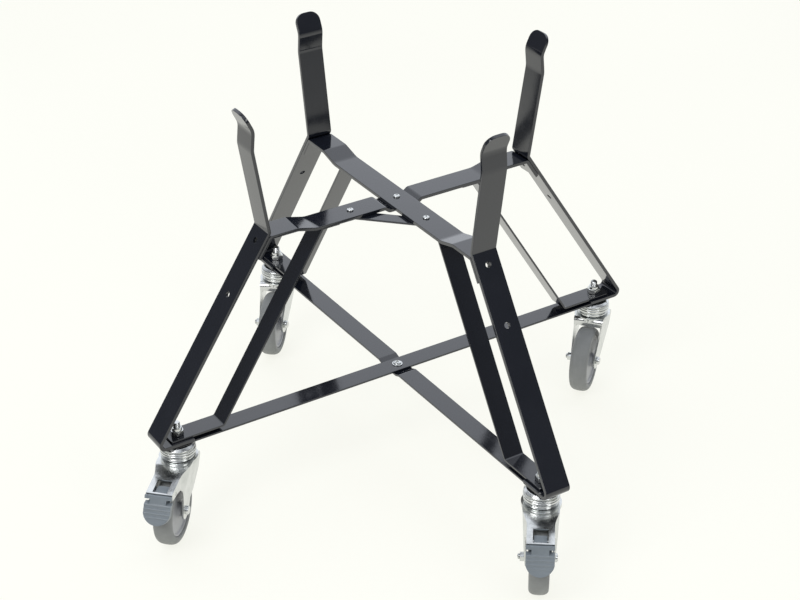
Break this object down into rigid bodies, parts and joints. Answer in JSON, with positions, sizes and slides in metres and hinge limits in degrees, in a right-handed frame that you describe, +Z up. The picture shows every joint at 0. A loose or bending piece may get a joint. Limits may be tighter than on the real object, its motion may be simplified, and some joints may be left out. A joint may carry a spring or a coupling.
{
  "type": "rolling grill stand",
  "caption": "Rolling stand for a round ceramic grill: crossed flat-bar frame with upright arms, on swivel casters with foot brakes.",
  "frame": {"origin": "on the floor, under the middle of the whole object's box at rest", "axes": "+Z up, +X to the right, +Y to the back; the casters with foot brakes are at -Y"},
  "size_m": [0.5798, 0.6505, 0.6022],
  "materials": {
    "frame_paint": "glossy black paint on bent steel flat bar",
    "bright_zinc": "bright zinc plate on pressed steel",
    "plated_hardware": "zinc-plated screws, stems and nuts",
    "tyre_rubber": "matt grey non-marking rubber",
    "hub_plastic": "grey moulded plastic",
    "pedal_plastic": "blue-grey moulded plastic, slightly glossy"
  },
  "bodies": {
    "frame": {"outer_leg_fl": "frame_paint", "inner_leg_fl": "frame_paint", "stem_fl": "plated_hardware", "stem_nut_fl": "plated_hardware", "outer_leg_fr": "frame_paint", "inner_leg_fr": "frame_paint", "stem_fr": "plated_hardware", "stem_nut_fr": "plated_hardware", "outer_leg_br": "frame_paint", "inner_leg_br": "frame_paint", "stem_br": "plated_hardware", "stem_nut_br": "plated_hardware", "outer_leg_bl": "frame_paint", "inner_leg_bl": "frame_paint", "stem_bl": "plated_hardware", "stem_nut_bl": "plated_hardware", "top_bar_over": "frame_paint", "top_bar_under": "frame_paint", "bottom_bar_over": "frame_paint", "bottom_bar_under": "frame_paint", "lock_strap": "frame_paint", "cross_screw": "plated_hardware", "cross_nut": "plated_hardware", "strap_screw_left": "plated_hardware", "strap_screw_right": "plated_hardware", "strap_nut_left": "plated_hardware", "strap_nut_right": "plated_hardware", "lower_screw": "plated_hardware", "lower_nut": "plated_hardware"},
    "swivel_fl": {"race_fl": "bright_zinc", "fork_fl": "bright_zinc", "axle_fl": "plated_hardware", "axle_nut_fl": "plated_hardware", "brake_pin_fl": "plated_hardware"},
    "wheel_fl": {"hub_fl": "hub_plastic", "tyre_fl": "tyre_rubber"},
    "pedal_fl": {"brake_pedal_fl": "pedal_plastic"},
    "swivel_fr": {"race_fr": "bright_zinc", "fork_fr": "bright_zinc", "axle_fr": "plated_hardware", "axle_nut_fr": "plated_hardware", "brake_pin_fr": "plated_hardware"},
    "wheel_fr": {"hub_fr": "hub_plastic", "tyre_fr": "tyre_rubber"},
    "pedal_fr": {"brake_pedal_fr": "pedal_plastic"},
    "swivel_br": {"race_br": "bright_zinc", "fork_br": "bright_zinc", "axle_br": "plated_hardware", "axle_nut_br": "plated_hardware"},
    "wheel_br": {"hub_br": "hub_plastic", "tyre_br": "tyre_rubber"},
    "swivel_bl": {"race_bl": "bright_zinc", "fork_bl": "bright_zinc", "axle_bl": "plated_hardware", "axle_nut_bl": "plated_hardware"},
    "wheel_bl": {"hub_bl": "hub_plastic", "tyre_bl": "tyre_rubber"}
  },
  "joints": [
    {"name": "swivel_turn_fl", "type": "hinge", "parent": "frame", "child": "swivel_fl", "pos_m": [-0.25145, -0.21615, 0.119], "axis": [0, 0, 1], "continuous": true},
    {"name": "wheel_spin_fl", "type": "hinge", "parent": "swivel_fl", "child": "wheel_fl", "pos_m": [-0.25145, -0.25455, 0.05], "axis": [1, 0, 0], "continuous": true},
    {"name": "brake_press_fl", "type": "hinge", "parent": "swivel_fl", "child": "pedal_fl", "pos_m": [-0.25145, -0.28615, 0.0995], "axis": [1, 0, 0], "range_deg": [0, 15]},
    {"name": "swivel_turn_fr", "type": "hinge", "parent": "frame", "child": "swivel_fr", "pos_m": [0.25145, -0.21615, 0.119], "axis": [0, 0, 1], "continuous": true},
    {"name": "wheel_spin_fr", "type": "hinge", "parent": "swivel_fr", "child": "wheel_fr", "pos_m": [0.25712, -0.25412, 0.05], "axis": [0.989, 0.1478, 0], "continuous": true},
    {"name": "brake_press_fr", "type": "hinge", "parent": "swivel_fr", "child": "pedal_fr", "pos_m": [0.26179, -0.28538, 0.0995], "axis": [0.989, 0.1478, 0], "range_deg": [0, 15]},
    {"name": "swivel_turn_br", "type": "hinge", "parent": "frame", "child": "swivel_br", "pos_m": [0.25145, 0.28675, 0.119], "axis": [0, 0, 1], "continuous": true},
    {"name": "wheel_spin_br", "type": "hinge", "parent": "swivel_br", "child": "wheel_br", "pos_m": [0.24743, 0.24856, 0.05], "axis": [0.9945, -0.1045, 0], "continuous": true},
    {"name": "swivel_turn_bl", "type": "hinge", "parent": "frame", "child": "swivel_bl", "pos_m": [-0.25145, 0.28675, 0.119], "axis": [0, 0, 1], "continuous": true},
    {"name": "wheel_spin_bl", "type": "hinge", "parent": "swivel_bl", "child": "wheel_bl", "pos_m": [-0.25011, 0.24837, 0.05], "axis": [0.9994, 0.0349, 0], "continuous": true}
  ]
}
